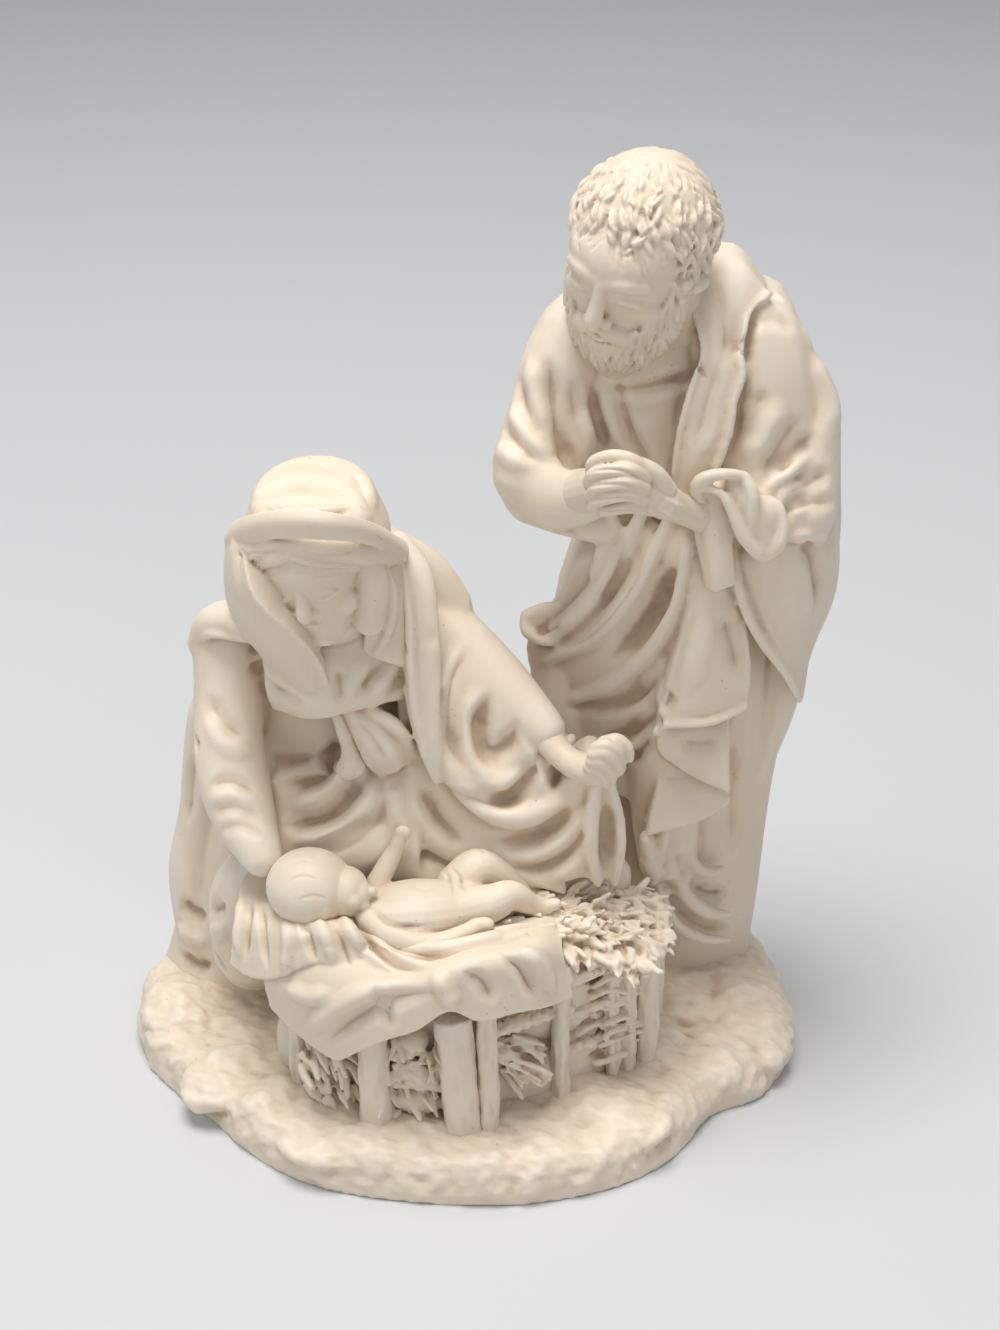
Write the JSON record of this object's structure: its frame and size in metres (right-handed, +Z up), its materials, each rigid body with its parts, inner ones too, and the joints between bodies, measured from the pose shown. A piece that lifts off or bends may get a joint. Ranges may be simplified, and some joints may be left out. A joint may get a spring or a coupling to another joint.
{
  "type": "nativity figurine",
  "caption": "one-piece cast nativity group: a standing bearded man, a kneeling veiled woman and an infant in a slatted crib on a rocky base",
  "frame": {"origin": "centre of the bounding box's underside, on the ground plane", "axes": "+Z up, +X to the right as the viewer faces the group (the standing man's side), +Y to the back"},
  "size_m": [0.096, 0.074, 0.1266],
  "materials": {
    "cast_resin": "satin warm ivory cast resin, slightly yellow in the hollows"
  },
  "bodies": {
    "root": {"nativity_group": "cast_resin"}
  },
  "joints": []
}
